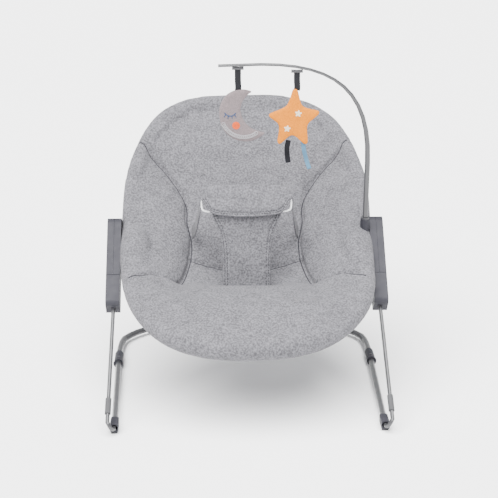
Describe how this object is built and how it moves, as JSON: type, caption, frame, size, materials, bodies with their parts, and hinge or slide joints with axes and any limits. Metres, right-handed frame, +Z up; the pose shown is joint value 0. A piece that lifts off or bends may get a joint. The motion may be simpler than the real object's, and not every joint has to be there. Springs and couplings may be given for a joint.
{
  "type": "baby bouncer seat",
  "caption": "Reclining baby bouncer with a padded oval seat on spring wires, a floor frame, a crotch restraint and a one-sided toy bar with two soft toys.",
  "frame": {"origin": "on the floor, at the centre of the overall box, seen from above", "axes": "+X to the side with the toy bar socket, -Y the way the child faces, +Z up"},
  "size_m": [0.5012, 0.5633, 0.5903],
  "materials": {
    "painted_steel": "satin grey powder coat",
    "plain_steel": "zinc plated",
    "hub_plastic": "satin moulded",
    "dark_plastic": "satin moulded",
    "rubber": "matte",
    "heather_fabric": "heather grey melange jersey",
    "lining_fabric": "plain grey woven",
    "ring_plastic": "white gloss",
    "webbing": "ribbed webbing",
    "moon_plush": "brushed mauve-grey",
    "star_plush": "brushed mustard orange",
    "black_ribbon": "satin ribbon",
    "blue_ribbon": "satin ribbon"
  },
  "bodies": {
    "floor_frame": {"rear_floor_tube": "painted_steel", "left_floor_tube": "painted_steel", "right_floor_tube": "painted_steel", "left_tube_collar": "hub_plastic", "right_tube_collar": "hub_plastic", "left_front_foot": "hub_plastic", "right_front_foot": "hub_plastic", "left_foot_pad": "rubber", "right_foot_pad": "rubber", "left_rear_pad": "rubber", "right_rear_pad": "rubber"},
    "left_snap": {"left_snap_button": "plain_steel"},
    "right_snap": {"right_snap_button": "plain_steel"},
    "legs": {"left_spring_wire": "painted_steel", "right_spring_wire": "painted_steel", "left_wire_sleeve": "rubber", "right_wire_sleeve": "rubber", "left_leg_bracket": "hub_plastic", "right_leg_bracket": "hub_plastic", "left_hub_outer_cover": "hub_plastic", "right_hub_outer_cover": "hub_plastic", "left_hub_inner_cover": "hub_plastic", "right_hub_inner_cover": "hub_plastic", "left_hub_plate": "plain_steel", "right_hub_plate": "plain_steel", "left_pivot_bolt": "plain_steel", "right_pivot_bolt": "plain_steel", "left_hub_screw": "plain_steel", "right_hub_screw": "plain_steel"},
    "left_button": {"left_recline_button": "dark_plastic"},
    "right_button": {"right_recline_button": "dark_plastic"},
    "seat": {"back_frame_tube": "painted_steel", "front_frame_tube": "painted_steel", "left_frame_bracket": "hub_plastic", "right_frame_bracket": "hub_plastic", "toy_bar_socket": "dark_plastic", "cover_back_sleeve": "heather_fabric", "cover_front_sleeve": "heather_fabric", "cover_back_panel": "heather_fabric", "left_cover_side_panel": "heather_fabric", "right_cover_side_panel": "heather_fabric", "cover_front_panel": "heather_fabric", "cover_underside": "lining_fabric", "left_waist_strap": "heather_fabric", "right_waist_strap": "heather_fabric"},
    "restraint": {"crotch_panel": "heather_fabric", "left_belt_ring": "ring_plastic", "right_belt_ring": "ring_plastic"},
    "flap": {"restraint_flap": "heather_fabric"},
    "bar_peg": {"toy_bar_peg": "dark_plastic"},
    "bar": {"toy_bar": "painted_steel", "moon_loop": "dark_plastic", "star_loop": "dark_plastic"},
    "moon_link": {"moon_strap": "webbing"},
    "moon": {"moon_toy": "moon_plush"},
    "star_link": {"star_strap": "webbing"},
    "star": {"star_toy": "star_plush", "star_black_ribbon": "black_ribbon", "star_blue_ribbon": "blue_ribbon"}
  },
  "joints": [
    {"name": "left_snap_press", "type": "slide", "parent": "floor_frame", "child": "left_snap", "axis": [0, 0, 1], "range_m": [-0.0016, 0], "stiffness_N_per_m": 900},
    {"name": "right_snap_press", "type": "slide", "parent": "floor_frame", "child": "right_snap", "axis": [0, 0, 1], "range_m": [-0.0016, 0], "stiffness_N_per_m": 900},
    {"name": "bounce", "type": "hinge", "parent": "floor_frame", "child": "legs", "pos_m": [0, -0.266, 0.012], "axis": [1, 0, 0], "range_deg": [-4, 3], "stiffness_Nm_per_rad": 400, "springref_deg": 1.15},
    {"name": "left_button_press", "type": "slide", "parent": "legs", "child": "left_button", "axis": [1, 0, 0], "range_m": [0, 0.0035], "stiffness_N_per_m": 600},
    {"name": "right_button_press", "type": "slide", "parent": "legs", "child": "right_button", "axis": [-1, 0, 0], "range_m": [0, 0.0035], "stiffness_N_per_m": 600},
    {"name": "recline", "type": "hinge", "parent": "legs", "child": "seat", "pos_m": [0, -0.009, 0.234], "axis": [1, 0, 0], "range_deg": [-28, 0]},
    {"name": "restraint_fold", "type": "hinge", "parent": "seat", "child": "restraint", "pos_m": [0, -0.062, 0.197], "axis": [1, 0, 0], "range_deg": [0, 55]},
    {"name": "flap_open", "type": "hinge", "parent": "restraint", "child": "flap", "pos_m": [0, -0.0452, 0.3754], "axis": [1, 0, 0], "range_deg": [-120, 0]},
    {"name": "toy_bar_lift", "type": "slide", "parent": "seat", "child": "bar_peg", "axis": [0, -0.1564, 0.9877], "range_m": [0, 0.024]},
    {"name": "toy_bar_swivel", "type": "hinge", "parent": "bar_peg", "child": "bar", "pos_m": [0.2155, 0.009, 0.268], "axis": [0, -0.1564, 0.9877], "range_deg": [-90, 30]},
    {"name": "moon_swing", "type": "hinge", "parent": "bar", "child": "moon_link", "pos_m": [-0.0145, -0.0401, 0.576], "axis": [1, 0, 0], "range_deg": [-35, 35]},
    {"name": "moon_sway", "type": "hinge", "parent": "moon_link", "child": "moon", "pos_m": [-0.0145, -0.0399, 0.5436], "axis": [0, 1, 0], "range_deg": [-12, 12]},
    {"name": "star_swing", "type": "hinge", "parent": "bar", "child": "star_link", "pos_m": [0.0875, -0.0392, 0.5702], "axis": [1, 0, 0], "range_deg": [-35, 35]},
    {"name": "star_sway", "type": "hinge", "parent": "star_link", "child": "star", "pos_m": [0.0875, -0.039, 0.5448], "axis": [0, 1, 0], "range_deg": [-12, 12]}
  ]
}
